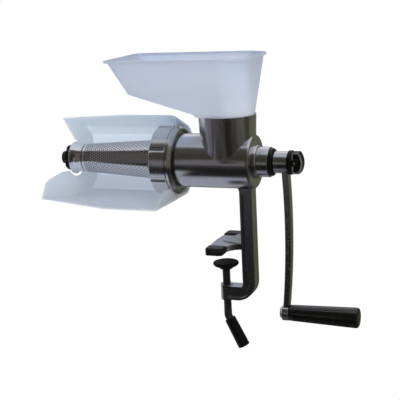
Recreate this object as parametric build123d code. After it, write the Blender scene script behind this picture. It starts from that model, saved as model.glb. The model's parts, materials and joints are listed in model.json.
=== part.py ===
from build123d import *
from math import cos, radians, sin, sqrt, tan
import os

# A clamp-on tomato strainer turned by a crank. Millimetres, +Z up.
# The origin is on the clamp screw's axis, in the plane of the table top that the jaw rests on.
# The barrel lies along X: the crank is at +X, the strainer cone and the waste outlet at -X.
# Every function below works about the point where the barrel's axis meets the funnel's axis,
# and export_part moves the solid to its place above the table.

axis_height = 98.2          # barrel axis above the table top
clamp_reach = 9.2           # funnel axis beyond the clamp screw, towards the crank

# barrel and bearing boss
barrel_radius = 30.0
barrel_wall = 3.5
barrel_reach = 74.0         # funnel axis to the strainer end
barrel_back = 31.5          # funnel axis to the crank end
back_wall = 5.0
back_rounding = 3.0
thread_radius = 34.0        # threaded collar for the ring nut
thread_length = 15.5
boss_radius = 16.6
boss_length = 17.0
boss_rounding = 0.8

# funnel
funnel_radius = 31.9        # outside, at the mouth
funnel_height = 52.0        # barrel axis to the mouth
funnel_wall = 2.9
funnel_foot_radius = 29.7   # outside, where it runs into the barrel
funnel_foot_depth = 5.0     # how far it runs below the barrel axis
throat_radius = 25.0        # inside, where it opens into the barrel

# clamp frame, cast with the barrel
frame_inner = 12.7          # funnel axis to the column's inner face
frame_depth = 14.4
frame_width = 16.0
frame_rim = 2.3             # raised border round the sunk panels
panel_sink = 3.2
frame_corner = 22.0         # outer bend
frame_fillet = 3.0          # inner corner
column_flare = 6.0          # where the column meets the barrel
throat_height = 44.9        # table top to the lower arm
arm_height = 15.9
screw_boss_radius = 7.0
screw_boss_proud = 1.2

# jaw
jaw_thickness = 6.5
jaw_bar = 18.5              # width of the cross bar
jaw_bow = 1.6               # how far its free edge bows out
jaw_overhang = 9.3          # clamp screw to the cross bar's free edge
jaw_half_length = 25.0      # bare half length, up to the caps
jaw_neck_half = 10.5
gusset_height = 11.0
gusset_length = 26.0
gusset_half = 8.0
gusset_ridge = 1.5
cap_length = 15.0
cap_height = 8.3
cap_wall = 1.6
cap_rounding = 3.0
stub_length = 13.5

# clamp screw, pad and sleeve
screw_radius = 4.5
thread_play = 0.06
pad_radius = 14.7
pad_top_drop = 17.9         # table top to the pad, as photographed
pad_rim = 3.4
pad_depth = 8.6
pad_neck_radius = 6.5
ball_radius = 3.7
ball_play = 0.3
ball_hold = 0.6             # how far the retainer's hole is smaller than the ball
ball_neck_radius = 2.7
retainer_wall = 1.2
bend_drop = 82.0            # table top to the bend in the screw
bend_radius = 7.0
bend_angle = 26.5
handle_length = 38.5
sleeve_room = 4.0           # bare bar between the bend and the sleeve
sleeve_radius = 6.3
sleeve_flare = 0.6
sleeve_wall = 2.0

# crank
shaft_radius = 8.0
shaft_play = 0.06
bush_wall = 3.5
bush_lip = 1.5
square_size = 10.0
seal_radius = 15.2
seal_length = 4.2
seal_chamfer = 1.4
hub_gap = 0.3
hub_radius = 12.0
hub_length = 15.9
crank_throw = 171.5
crank_width = 11.0
crank_thickness = 7.6
crank_foot_thickness = 6.4
crank_face_drop = 1.0       # arm's face behind the hub's end
crank_bow = 3.9
crank_foot_shift = 3.6      # how far the arm's foot leans back from the hub
crank_rounding = 1.2
crank_boss_radius = 9.0
crank_boss_length = 8.0
spindle_radius = 4.0
spindle_play = 0.08
spindle_head_radius = 6.5
spindle_head = 2.6
grip_gap = 0.5
grip_length = 78.0
grip_near_radius = 9.0
grip_far_radius = 11.5
grip_end_rounding = 4.0
grip_end_wall = 6.0
clip_wall = 1.2
clip_bite = 0.7
clip_radius = 6.4
clip_pocket_play = 0.4
clip_room = 4.0             # from the clip to the bottom of the grip's bore

# crank knob
knob_washer_thickness = 1.5
knob_flange_radius = 13.2
knob_flange = 2.6
knob_reach = 11.6           # head beyond the flange
knob_half_height = 11.8
knob_head_thickness = 10.0
knob_pocket_sink = 2.4
knob_rim = 1.9
knob_hub_radius = 6.0
knob_bulge = 3.8            # how far the head's end bows out
stud_radius = 4.0
stud_length = 11.0
stud_hold = 8.0
pin_radius = 1.5
pin_reach = 2.6             # the pin beyond the flange

# ring nut
nut_front_wall = 4.6
nut_wall = 4.3              # outside the thread
nut_chamfer = 3.2
nut_back_cover = 3.0        # how far it reaches past the threaded collar
nut_flutes = 7
nut_flute_radius = 4.2
nut_flute_sink = 2.0
nut_flute_phase = 24.0
nut_flute_room = 2.5        # from the flutes' end to the groove
nut_flute_end = 3.6         # solid band left behind the tray groove
groove_width = 2.6
groove_depth = 1.4
thread_gap = 0.3

# strainer cone and its ends
gasket_thickness = 1.0
flange_thickness = 1.5
cone_radius = 22.9          # outside, at the flange
cone_tip_radius = 16.3
cone_length = 100.0
cone_wall = 0.8
cone_gap = 1.6              # ring nut's mouth to the cone
seam_width = 2.4
seam_proud = 0.5
collar_length = 7.0
collar_radius = 16.2
bell_radius = 18.7
bell_length = 6.5
bell_lip = 1.2
outlet_radius = 12.6
outlet_play = 0.3

# outlet knob
outlet_washer_thickness = 1.2
outlet_washer_radius = 13.9
star_lobes = 5
star_radius = 14.6
star_thickness = 7.0
star_notch_radius = 4.6
star_hub_radius = 8.6
star_hub_length = 6.5
star_hub_tip_radius = 7.2
waste_radius = 4.6
nozzle_length = 9.0

# auger
auger_play = 0.8
auger_pitch = 25.0
auger_core_radius = 12.5
auger_tip_core_radius = 7.0
auger_flight = 4.0
auger_overlap = 6.0         # flight's extra width, trimmed by core and bore
auger_step_room = 2.0       # full-width flight stops this far inside the barrel's mouth
auger_back_gap = 1.0
auger_tip_gap = 4.5
spring_wall = 2.0
spring_length = 9.0
coupling_length = 14.0
thrust_radius = 13.0
thrust_thickness = 3.0

# hopper
hopper_height = 116.0       # barrel axis to the rim
hopper_wall = 2.0
hopper_left = 123.0         # funnel axis to the rim's far end
hopper_right = 35.5
hopper_left_half = 45.0
hopper_right_half = 53.0
hopper_left_corner = 6.0
hopper_right_corner = 27.0
hopper_foot_left = 92.0     # the same shape, run down to the shoulder
hopper_foot_half = 24.0
hopper_floor_low = 29.0     # where the sloping floor meets the neck
hopper_floor_lift = 3.5     # there, above the funnel's rim
hopper_floor_far = 106.0
hopper_floor_rise = 27.0
shoulder_radius = 30.2
neck_depth = 15.0
neck_play = 0.35
rim_width = 2.6
rim_thickness = 2.4

# splash tray, as a section round the barrel axis (across, up), from the top lip to the front lip
tray_wall = 2.0
tray_top = (-8.0, 52.0)
tray_shoulder = (37.0, 32.5)
tray_back_high = (47.0, 21.0)
tray_back_low = (43.0, -30.0)
tray_heel = (22.0, -43.5)
tray_floor = (-20.0, -43.5)
tray_front = (-73.0, -42.0)
tray_far_top = (-7.0, 48.0)
tray_far_front = (-81.0, -30.5)
tray_lip_level = 122.0      # funnel axis to where the front lip starts to rise
tray_end = 190.8            # funnel axis to the far wall, at the barrel axis
tray_end_room = 12.0
tray_end_lean = 8.0         # degrees that the far wall leans out
tray_end_skew = 4.1         # and turns out towards the front
tray_collar_play = 0.4
tray_outlet_play = 3.0
tray_ear_half = 30.0        # front reach of the near wall's ear, from the axis
tray_ear_drop = 27.0


def rod(radius, x_start, x_end):
    """A round bar along the barrel axis."""
    plane = Plane(origin=(min(x_start, x_end), 0, 0), z_dir=(1, 0, 0))
    return Solid.make_cylinder(radius, abs(x_end - x_start), plane)


def taper(radius_start, radius_end, x_start, x_end):
    """A cone along the barrel axis."""
    if x_end < x_start:
        x_start, x_end = x_end, x_start
        radius_start, radius_end = radius_end, radius_start
    plane = Plane(origin=(x_start, 0, 0), z_dir=(1, 0, 0))
    return Solid.make_cone(radius_start, radius_end, x_end - x_start, plane)


def post(radius, z_low, z_high, x=0.0, y=0.0):
    """A round bar standing up."""
    return Solid.make_cylinder(radius, z_high - z_low, Plane(origin=(x, y, z_low)))


def block(x_low, x_high, y_low, y_high, z_low, z_high):
    """A box between two corners."""
    size = (x_high - x_low, y_high - y_low, z_high - z_low)
    return Pos(x_low, y_low, z_low) * Solid.make_box(*size)


def spun(points):
    """A ring or disc turned about the barrel axis from (x, radius) points."""
    profile = Plane.XY * make_face(Polyline(*points, close=True))
    return revolve(profile, Axis.X)


# places along the barrel axis that several pieces share
barrel_mouth = -barrel_reach
collar_start = barrel_mouth + thread_length
bore_radius = barrel_radius - barrel_wall
bore_end = barrel_back - back_wall
boss_end = barrel_back + boss_length
seal_end = boss_end + seal_length
hub_start = seal_end + hub_gap
hub_end = hub_start + hub_length
washer_end = hub_end + knob_washer_thickness
flange_face = barrel_mouth - gasket_thickness
flange_front = flange_face - flange_thickness
nut_lip = flange_front - thread_gap
nut_radius = thread_radius + thread_gap + nut_wall
nut_front = nut_lip - nut_front_wall
nut_back = collar_start + nut_back_cover
groove_front = nut_back - nut_chamfer - nut_flute_end - groove_width + 2.4
groove_back = groove_front + groove_width
cone_end = flange_face - cone_length
seam_end = cone_end - seam_width
bell_end = seam_end - collar_length - bell_length
outlet_face = bell_end - outlet_washer_thickness
seat = -axis_height
sleeve_length = handle_length - sleeve_room
arm_top = seat - throat_height
arm_bottom = arm_top - arm_height
jaw_top = seat + jaw_thickness
screw_x = -clamp_reach
jaw_free_edge = screw_x - jaw_overhang
jaw_inner_edge = jaw_free_edge + jaw_bar
frame_outer = frame_inner + frame_depth
bush_radius = shaft_radius + bush_wall
arm_top_x = hub_end - crank_face_drop - crank_thickness / 2
arm_foot_x = arm_top_x - crank_foot_shift
foot_back = arm_foot_x - crank_boss_length / 2
foot_front = arm_foot_x + crank_boss_length / 2
grip_start = foot_front + grip_gap
grip_end = grip_start + grip_length
clip_x = grip_end - grip_end_wall - clip_wall - clip_room


def cone_radius_at(x):
    """Outside radius of the strainer cone at a place along the axis."""
    share = (flange_face - x) / cone_length
    return cone_radius + (cone_tip_radius - cone_radius) * share


def funnel_bore_at(z):
    """Inside radius of the funnel at a height above the barrel axis."""
    return throat_radius + (funnel_radius - funnel_wall - throat_radius) * z / funnel_height


def frame_profile():
    """Outline of the clamp frame, seen along Y."""
    flare_top = -sqrt(barrel_radius ** 2 - frame_inner ** 2) - column_flare
    outline = Polyline(
        (frame_outer, flare_top + 2 * column_flare),
        (frame_outer, arm_bottom + frame_corner),
    )
    outline += RadiusArc(outline @ 1, (frame_outer - frame_corner, arm_bottom), frame_corner)
    outline += Polyline(
        (frame_outer - frame_corner, arm_bottom),
        (screw_x, arm_bottom),
        (screw_x, arm_top),
        (frame_inner - frame_fillet, arm_top),
    )
    outline += RadiusArc(outline @ 1, (frame_inner, arm_top + frame_fillet), -frame_fillet)
    outline += Line((frame_inner, arm_top + frame_fillet), (frame_inner, flare_top))
    outline += RadiusArc(outline @ 1, (frame_inner - column_flare, flare_top + column_flare), -column_flare)
    outline += Line((frame_inner - column_flare, flare_top + column_flare),
                    (frame_outer, flare_top + 2 * column_flare))
    return make_face(outline)


def clamp_frame():
    """Column and lower arm with sunk panels in both sides, and the screw boss."""
    face = Plane.XZ * frame_profile()
    frame = extrude(face, amount=frame_width / 2, both=True)
    border = Plane.XZ * offset(frame_profile(), amount=-frame_rim, kind=Kind.INTERSECTION)
    floor = frame_width / 2 - panel_sink
    sunk = extrude(border, amount=frame_width, both=True)
    sunk -= block(-200, 200, -floor, floor, -300, 100)
    sunk &= block(-200, 200, -100, 100, -300, -barrel_radius - column_flare)
    frame -= sunk
    boss = post(screw_boss_radius, arm_bottom - screw_boss_proud, arm_top + screw_boss_proud, screw_x)
    frame += boss
    return frame - post(screw_radius + thread_play, arm_bottom - 10, arm_top + 10, screw_x)


def jaw():
    """Cross bar under the column's neck, its cap stubs and the gusset on top."""
    corner = (jaw_free_edge, -jaw_half_length)
    edge = ThreePointArc(corner, (jaw_free_edge - jaw_bow, 0), (jaw_free_edge, jaw_half_length))
    neck_back = ThreePointArc(
        (jaw_inner_edge, jaw_half_length),
        (jaw_inner_edge + 4.0, jaw_neck_half + 5.5),
        (frame_inner + 1.0, jaw_neck_half),
    )
    neck_front = ThreePointArc(
        (frame_inner + 1.0, -jaw_neck_half),
        (jaw_inner_edge + 4.0, -jaw_neck_half - 5.5),
        (jaw_inner_edge, -jaw_half_length),
    )
    outline = edge
    outline += Line((jaw_free_edge, jaw_half_length), (jaw_inner_edge, jaw_half_length))
    outline += neck_back
    outline += Line((frame_inner + 1.0, jaw_neck_half), (frame_inner + 1.0, -jaw_neck_half))
    outline += neck_front
    outline += Line((jaw_inner_edge, -jaw_half_length), corner)
    plate = extrude(Plane(origin=(0, 0, seat)) * make_face(outline), amount=jaw_thickness)
    for side in (-1, 1):
        plate += cap_stub(side)
    wide = Plane(origin=(frame_inner + 1.0, 0, jaw_top), x_dir=(0, 1, 0), z_dir=(1, 0, 0))
    narrow = Plane(origin=(frame_inner + 1.0 - gusset_length, 0, jaw_top), x_dir=(0, 1, 0), z_dir=(1, 0, 0))
    root = Polyline((-gusset_half, -1), (gusset_half, -1), (gusset_ridge, gusset_height),
                    (-gusset_ridge, gusset_height), close=True)
    tip = Polyline((-0.8, -1), (0.8, -1), (0.3, 0.3), (-0.3, 0.3), close=True)
    gusset = loft([narrow * make_face(tip), wide * make_face(root)], ruled=True)
    return plate + gusset


def cap_stub(side):
    """The end of the cross bar that one cap slides over."""
    near = jaw_half_length - 1.0
    far = jaw_half_length + stub_length
    low, high = sorted((side * near, side * far))
    return block(jaw_free_edge + cap_wall, jaw_inner_edge - cap_wall, low, high,
                 seat + cap_wall, jaw_top - 0.3)


def body_casting():
    """Barrel, funnel, bearing boss, clamp frame and jaw in one casting."""
    barrel = rod(barrel_radius, barrel_mouth, barrel_back)
    barrel = fillet(barrel.edges().filter_by(GeomType.CIRCLE).sort_by(Axis.X)[-1], back_rounding)
    casting = barrel + rod(thread_radius, barrel_mouth, collar_start)
    funnel = Solid.make_cone(funnel_foot_radius, funnel_radius, funnel_height + funnel_foot_depth,
                             Plane(origin=(0, 0, -funnel_foot_depth)))
    casting += funnel
    boss = rod(boss_radius, barrel_back - 1, boss_end)
    casting += fillet(boss.edges().filter_by(GeomType.CIRCLE).sort_by(Axis.X)[-1], boss_rounding)
    casting += clamp_frame() + jaw()
    casting -= rod(bore_radius, barrel_mouth - 1, bore_end)
    casting -= Solid.make_cone(throat_radius, funnel_radius - funnel_wall, funnel_height, Plane.XY)
    casting -= post(funnel_radius - funnel_wall, funnel_height - 0.01, funnel_height + 1)
    casting -= rod(bush_radius, bore_end - 1, boss_end + 1)
    return casting


def jaw_cap(side):
    """Moulded cap over one end of the cross bar."""
    low, high = sorted((side * jaw_half_length, side * (jaw_half_length + cap_length)))
    cap = block(jaw_free_edge - 0.8, jaw_inner_edge + 0.8, low, high, seat, seat + cap_height)
    outer = cap.faces().sort_by(Axis.Y)[0 if side < 0 else -1]
    upright = cap.edges().filter_by(Axis.Z).filter_by(lambda e: abs(e.center().Y - outer.center().Y) < 0.1)
    cap = fillet(upright, cap_rounding * 1.5)
    top = cap.faces().sort_by(Axis.Z)[-1]
    cap = fillet(top.edges(), cap_rounding * 0.7)
    return cap - cap_stub(side)


def clamp_pad():
    """Swivelling pad with a socket for the screw's ball."""
    top = seat - pad_top_drop
    outline = Polyline(
        (0, top),
        (pad_radius - 1.0, top),
        (pad_radius, top - 1.0),
        (pad_radius, top - pad_rim + 0.8),
        (pad_radius - 1.6, top - pad_rim - 0.8),
        (pad_neck_radius, top - pad_depth + 0.6),
        (pad_neck_radius - 0.6, top - pad_depth),
        (0, top - pad_depth),
        close=True,
    )
    disc = revolve(Plane.XZ * make_face(outline), Axis.Z)
    socket = Solid.make_sphere(ball_radius + ball_play, Plane(origin=(0, 0, ball_centre())), -90, 90, 360)
    mouth = post(ball_radius + ball_play, top - pad_depth - 1, ball_centre())
    return Pos(screw_x, 0, 0) * (disc - socket - mouth)


def ball_centre():
    """Height of the ball that carries the pad."""
    return seat - pad_top_drop - 1.6 - ball_radius


def pad_retainer():
    """Ring pressed into the pad under the ball."""
    low = seat - pad_top_drop - pad_depth
    ring = post(ball_radius + ball_play, low, low + retainer_wall, screw_x)
    return ring - post(ball_radius - ball_hold, low - 1, low + 5, screw_x)


def clamp_screw():
    """Screw with a ball at the top and its lower end bent over as a handle."""
    bend_z = seat - bend_drop
    tilt = radians(bend_angle)
    start_z = seat - pad_top_drop - pad_depth - 0.6
    knee = (screw_x, bend_z)
    tip = (screw_x + handle_length * sin(tilt), bend_z - handle_length * cos(tilt))
    path = Plane.XZ * FilletPolyline((screw_x, start_z), knee, tip, radius=bend_radius)
    bar = sweep(Plane(origin=(screw_x, 0, start_z), z_dir=(0, 0, -1)) * Circle(screw_radius), path=path)
    neck = post(ball_neck_radius, start_z - 0.5, ball_centre(), screw_x)
    ball = Solid.make_sphere(ball_radius, Plane(origin=(screw_x, 0, ball_centre())), -90, 90, 360)
    return bar + neck + ball - handle_side(sleeve_length + 2, 30, screw_radius - 0.4)


def handle_plane(distance):
    """Plane square to the bent handle, a distance up from its tip."""
    tilt = radians(bend_angle)
    along = handle_length - distance
    origin = (screw_x + along * sin(tilt), 0, seat - bend_drop - along * cos(tilt))
    return Plane(origin=origin, x_dir=(0, 1, 0), z_dir=(-sin(tilt), 0, cos(tilt)))


def handle_side(length, outer, inner):
    """A tube round the last stretch of the bent handle."""
    tube = Solid.make_cylinder(outer, length, handle_plane(0))
    return tube - Solid.make_cylinder(inner, length, handle_plane(0))


def screw_sleeve():
    """Moulded sleeve over the bent end."""
    body = Solid.make_cone(sleeve_radius + sleeve_flare, sleeve_radius, sleeve_length + 1.5,
                           handle_plane(-1.5))
    body = chamfer(body.edges().filter_by(GeomType.CIRCLE), 0.7)
    return body - Solid.make_cylinder(screw_radius - 0.4, sleeve_length + 2, handle_plane(0))


def bearing_bush():
    """Plain bearing pressed into the boss, with a lip inside the barrel."""
    bush = rod(bush_radius, bore_end, boss_end) + rod(thrust_radius, bore_end - bush_lip, bore_end)
    return bush - rod(shaft_radius + shaft_play, bore_end - 5, boss_end + 5)


def shaft_seal():
    """Black ring on the boss's face, round the shaft."""
    ring = rod(seal_radius, boss_end, seal_end)
    ring = chamfer(ring.edges().filter_by(GeomType.CIRCLE), seal_chamfer)
    return ring - rod(shaft_radius + 0.3, boss_end - 1, seal_end + 1)


def square_bar(size, x_start, x_end):
    """A square bar along the barrel axis."""
    return block(x_start, x_end, -size / 2, size / 2, -size / 2, size / 2)


def drive_shaft():
    """Shaft with a thrust flange inside, a square for the crank and a square for the auger."""
    thrust_face = bore_end - bush_lip - 0.2
    shaft = rod(shaft_radius, thrust_face - 1, hub_start - 0.1)
    shaft += rod(thrust_radius, thrust_face - thrust_thickness, thrust_face)
    shaft += square_bar(square_size, hub_start - 0.2, hub_end - 0.4)
    shaft += square_bar(square_size, thrust_face - thrust_thickness - coupling_length,
                        thrust_face - thrust_thickness)
    return shaft - rod(stud_radius + thread_play, hub_end - stud_length - 1, hub_end + 1)


def crank_arm():
    """Hub, bowed arm and grip boss in one casting."""
    hub = rod(hub_radius, hub_start, hub_end)
    hub = chamfer(hub.edges().filter_by(GeomType.CIRCLE), 0.7)
    mid_x = (arm_top_x + arm_foot_x) / 2 + crank_bow
    path = Plane.XZ * ThreePointArc((arm_top_x, 0), (mid_x, -crank_throw / 2), (arm_foot_x, -crank_throw))
    head = Plane(origin=path @ 0, x_dir=(0, 1, 0), z_dir=path % 0)
    foot = Plane(origin=path @ 1, x_dir=(0, 1, 0), z_dir=path % 1)
    head_section = head * RectangleRounded(crank_width, crank_thickness, crank_rounding)
    foot_section = foot * RectangleRounded(crank_width, crank_foot_thickness, crank_rounding)
    bar = sweep([head_section, foot_section], path=path, multisection=True)
    boss = rod(crank_boss_radius, foot_back, foot_front)
    boss = chamfer(boss.edges().filter_by(GeomType.CIRCLE), 0.6)
    facing = rod(crank_boss_radius + 1.5, foot_front, foot_front + 20)
    facing += rod(crank_boss_radius + 1.5, foot_back - 20, foot_back)
    arm = hub + bar + Pos(0, 0, -crank_throw) * boss
    arm -= square_bar(square_size, hub_start - 1, hub_end + 1)
    arm -= Pos(0, 0, -crank_throw) * facing
    hole = rod(spindle_radius, foot_back - 20, foot_front + 20)
    return arm - Pos(0, 0, -crank_throw) * hole


def grip_spindle():
    """Pin riveted through the crank boss, with a groove for the grip's clip."""
    pin = rod(spindle_head_radius, foot_back - spindle_head, foot_back)
    pin = chamfer(pin.edges().filter_by(GeomType.CIRCLE).sort_by(Axis.X)[0], 1.0)
    pin += rod(spindle_radius, foot_back, clip_x + clip_wall + clip_room / 2)
    pin -= clip_ring(spindle_radius + 1)
    return Pos(0, 0, -crank_throw) * pin


def clip_ring(outer):
    """A ring in the spindle's groove."""
    ring = rod(outer, clip_x, clip_x + clip_wall)
    return ring - rod(spindle_radius - clip_bite, clip_x - 1, clip_x + clip_wall + 1)


def grip_clip():
    """Ring in the spindle's groove that keeps the grip on."""
    return Pos(0, 0, -crank_throw) * clip_ring(clip_radius)


def grip():
    """Turning grip, wider towards its closed end."""
    body = taper(grip_near_radius, grip_far_radius, grip_start, grip_end)
    body = fillet(body.edges().filter_by(GeomType.CIRCLE).sort_by(Axis.X)[-1], grip_end_rounding)
    body = chamfer(body.edges().filter_by(GeomType.CIRCLE).sort_by(Axis.X)[0], 0.6)
    body -= rod(spindle_radius + spindle_play, grip_start - 1, grip_end - grip_end_wall)
    body -= rod(clip_radius + clip_pocket_play, clip_x - clip_pocket_play, grip_end - grip_end_wall)
    return Pos(0, 0, -crank_throw) * body


def knob_washer():
    """Washer under the crank knob."""
    return rod(knob_flange_radius, hub_end, washer_end) - rod(stud_radius + 0.3, hub_end - 1, washer_end + 1)


def crank_knob():
    """Flanged thumb knob with a sunk panel in each side of its flat head."""
    flange = rod(knob_flange_radius, washer_end, washer_end + knob_flange)
    flange = chamfer(flange.edges().filter_by(GeomType.CIRCLE), 0.5)
    x_low = washer_end + knob_flange - 0.5
    x_high = washer_end + knob_flange + knob_reach
    half = knob_head_thickness / 2
    outline = Polyline((x_high - knob_bulge, knob_half_height), (x_low, knob_half_height),
                       (x_low, -knob_half_height), (x_high - knob_bulge, -knob_half_height))
    outline += ThreePointArc((x_high - knob_bulge, -knob_half_height), (x_high, 0),
                             (x_high - knob_bulge, knob_half_height))
    head = extrude(Plane.XZ * make_face(outline), amount=half, both=True)
    sunk = Plane.XZ * offset(make_face(outline), amount=-knob_rim, kind=Kind.INTERSECTION)
    pockets = extrude(sunk, amount=knob_head_thickness, both=True)
    floor = half - knob_pocket_sink
    pockets -= block(x_low - 50, x_high + 50, -floor, floor, -50, 50)
    head = head - pockets
    head += rod(knob_hub_radius, x_low, x_high - knob_rim - 1.5)
    knob = flange + head
    knob -= rod(stud_radius, washer_end - 1, washer_end + stud_hold)
    return knob - knob_pin_bar()


def knob_pin_bar():
    """Cross pin through the knob's hub and stud."""
    x = washer_end + knob_flange + pin_reach
    plane = Plane(origin=(x, -knob_hub_radius, 0), z_dir=(0, 1, 0))
    return Solid.make_cylinder(pin_radius, 2 * knob_hub_radius, plane)


def knob_stud():
    """Threaded stud that the knob turns into the shaft's end."""
    stud = rod(stud_radius, hub_end - stud_length, washer_end + stud_hold)
    return stud - knob_pin_bar()


def ring_nut():
    """Fluted ring nut that clamps the strainer's flange to the barrel."""
    chamfer_radius = nut_radius - nut_chamfer
    nut = spun([
        (nut_front, cone_radius_at(nut_front) + cone_gap),
        (nut_front, nut_radius - 1.0),
        (nut_front + 1.0, nut_radius),
        (groove_front, nut_radius),
        (groove_front, nut_radius - groove_depth),
        (groove_back, nut_radius - groove_depth),
        (groove_back, nut_radius),
        (nut_back - nut_chamfer, nut_radius),
        (nut_back, chamfer_radius),
        (nut_back, thread_radius + thread_gap),
        (nut_lip, thread_radius + thread_gap),
        (nut_lip, cone_radius_at(nut_lip) + cone_gap),
    ])
    centre = nut_radius + nut_flute_radius - nut_flute_sink
    for index in range(nut_flutes):
        turn = nut_flute_phase + index * 360 / nut_flutes
        flute = rod(nut_flute_radius, nut_front - 1, groove_front - nut_flute_room)
        flute += Solid.make_sphere(nut_flute_radius, Plane(origin=(groove_front - nut_flute_room, 0, 0)), -90, 90, 360)
        nut -= Rot(180 + turn, 0, 0) * Pos(0, centre, 0) * flute
    return nut


def barrel_gasket():
    """Flat gasket between barrel and flange."""
    return rod(thread_radius - 0.5, flange_face, barrel_mouth) - rod(bore_radius, flange_face - 1, barrel_mouth + 1)


def cone_flange():
    """Flat ring at the wide end of the strainer, held by the nut."""
    ring = rod(thread_radius - 0.2, flange_front, flange_face)
    return ring - taper(cone_radius_at(flange_face + 1), cone_radius_at(flange_front - 1),
                        flange_face + 1, flange_front - 1)


def strainer_cone():
    """Thin sheet cone, open at both ends."""
    tip = cone_tip_radius
    outer = taper(cone_radius, tip, flange_face, cone_end)
    slope = (cone_radius - tip) / cone_length
    inner = taper(cone_radius - cone_wall + slope, tip - cone_wall - slope, flange_face + 1, cone_end - 1)
    return outer - inner


def seam_ring():
    """Dark sealing ring at the cone's narrow end."""
    ring = rod(cone_tip_radius + seam_proud, seam_end, cone_end)
    return ring - rod(outlet_radius + outlet_play, seam_end - 1, cone_end + 1)


def outlet_collar():
    """Turned collar with a flared mouth, threaded inside for the outlet knob."""
    bell_start = seam_end - collar_length
    profile = make_face(
        Polyline((seam_end, outlet_radius + outlet_play), (seam_end, collar_radius),
                 (bell_start, collar_radius))
        + ThreePointArc((bell_start, collar_radius),
                        (bell_start - bell_length * 0.45, collar_radius + 0.5),
                        (bell_end + bell_lip, bell_radius))
        + Polyline((bell_end + bell_lip, bell_radius), (bell_end, bell_radius),
                   (bell_end, outlet_radius + outlet_play), (seam_end, outlet_radius + outlet_play))
    )
    return revolve(profile, Axis.X)


def outlet_washer():
    """Washer that travels with the outlet knob."""
    ring = rod(outlet_washer_radius, outlet_face, bell_end)
    return ring - rod(outlet_radius + outlet_play, outlet_face - 1, bell_end + 1)


def outlet_knob():
    """Star knob with a hollow threaded nozzle that sets how dry the waste leaves."""
    star_end = outlet_face - star_thickness
    star = rod(star_radius, star_end, outlet_face)
    star = fillet(star.edges().filter_by(GeomType.CIRCLE).sort_by(Axis.X)[0], 1.5)
    for index in range(star_lobes):
        turn = 90 + (index + 0.5) * 360 / star_lobes
        notch = rod(star_notch_radius, star_end - 1, outlet_face + 1)
        star -= Rot(turn, 0, 0) * Pos(0, star_radius + star_notch_radius * 0.35, 0) * notch
    hub = taper(star_hub_tip_radius, star_hub_radius, star_end - star_hub_length, star_end + 1)
    nozzle = rod(outlet_radius, outlet_face - 1, outlet_face + nozzle_length + outlet_washer_thickness)
    return star + hub + nozzle - rod(waste_radius, star_end - star_hub_length - 1, bell_end + nozzle_length + 5)


def auger():
    """Tapered core with one helical flight that follows barrel and cone."""
    back = bore_end - bush_lip - thrust_thickness - 0.2 - auger_back_gap
    front = cone_end + auger_tip_gap
    step = barrel_mouth + auger_step_room
    inside = cone_wall + auger_play
    barrel_part = rod(bore_radius - auger_play, step, back)
    cone_part = taper(cone_radius_at(step) - inside, cone_radius_at(front) - inside, step, front)
    ribbon_radius = (bore_radius + auger_tip_core_radius) / 2
    ribbon_width = bore_radius - auger_tip_core_radius + auger_overlap
    helix = Helix(pitch=auger_pitch, height=back - front - auger_flight, radius=ribbon_radius)
    section = Plane(origin=helix @ 0, x_dir=(1, 0, 0), z_dir=helix % 0)
    ribbon = sweep(section * Rectangle(ribbon_width, auger_flight), path=helix, is_frenet=True)
    ribbon = Pos(front + auger_flight / 2, 0, 0) * Rot(0, 90, 0) * ribbon.solids()[0]
    core = taper(auger_core_radius, auger_tip_core_radius, back, front)
    screw = core + (ribbon & barrel_part) + (ribbon & cone_part)
    socket = square_bar(square_size + 0.4, back - coupling_length - 1, back + 1)
    spring_seat = rod(square_size * 0.71 + spring_wall + 0.5, back - spring_length, back + 1)
    return screw - socket - spring_seat


def auger_spring():
    """Spring between thrust flange and auger, as a plain sleeve."""
    back = bore_end - bush_lip - thrust_thickness - 0.2
    inner = square_size * 0.71 + 0.2
    return rod(inner + spring_wall, back - spring_length - auger_back_gap, back) - rod(
        inner, back - spring_length - 5, back + 1)


def rounded_outline(left, right, left_half, right_half, left_corner, right_corner):
    """Plan of the hopper: a trapezium with its own corner radius at each end."""
    corners = [(-left, -left_half), (right, -right_half), (right, right_half), (-left, left_half)]
    face = make_face(Polyline(*corners, close=True))
    slant = (right_half - left_half) / (right + left)
    right_corner = min(right_corner, 0.98 * right_half / (1 + slant))
    ends = face.vertices().sort_by(Axis.X)
    face = fillet(ends[2:], right_corner)
    ends = face.vertices().sort_by(Axis.X)
    return fillet(ends[:2], left_corner)


def hopper_body(inset, lift):
    """The flared tub, drawn in by inset all round, with its floor raised by lift."""
    top = hopper_height
    low = funnel_height
    rim = rounded_outline(hopper_left - inset, hopper_right - inset, hopper_left_half - inset,
                          hopper_right_half - inset, hopper_left_corner, hopper_right_corner)
    foot = rounded_outline(hopper_foot_left - inset, shoulder_radius - inset, hopper_foot_half - inset,
                           shoulder_radius - inset, hopper_left_corner, shoulder_radius)
    tub = loft([Plane(origin=(0, 0, low)) * foot, Plane(origin=(0, 0, top)) * rim], ruled=True)
    slope = (hopper_floor_rise - hopper_floor_lift) / (hopper_floor_far - hopper_floor_low)
    x_far = -hopper_left - 40
    z_near = low + hopper_floor_lift + lift
    z_far = z_near + (-hopper_floor_low - x_far) * slope
    x_near = -hopper_floor_low + hopper_floor_lift
    under = Polyline((x_near, low + lift - 1), (-hopper_floor_low, z_near), (x_far, z_far),
                     (x_far, low - 40), (x_near, low - 40), close=True)
    cut = extrude(Plane.XZ * make_face(under), amount=200, both=True)
    return tub - cut


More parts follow.
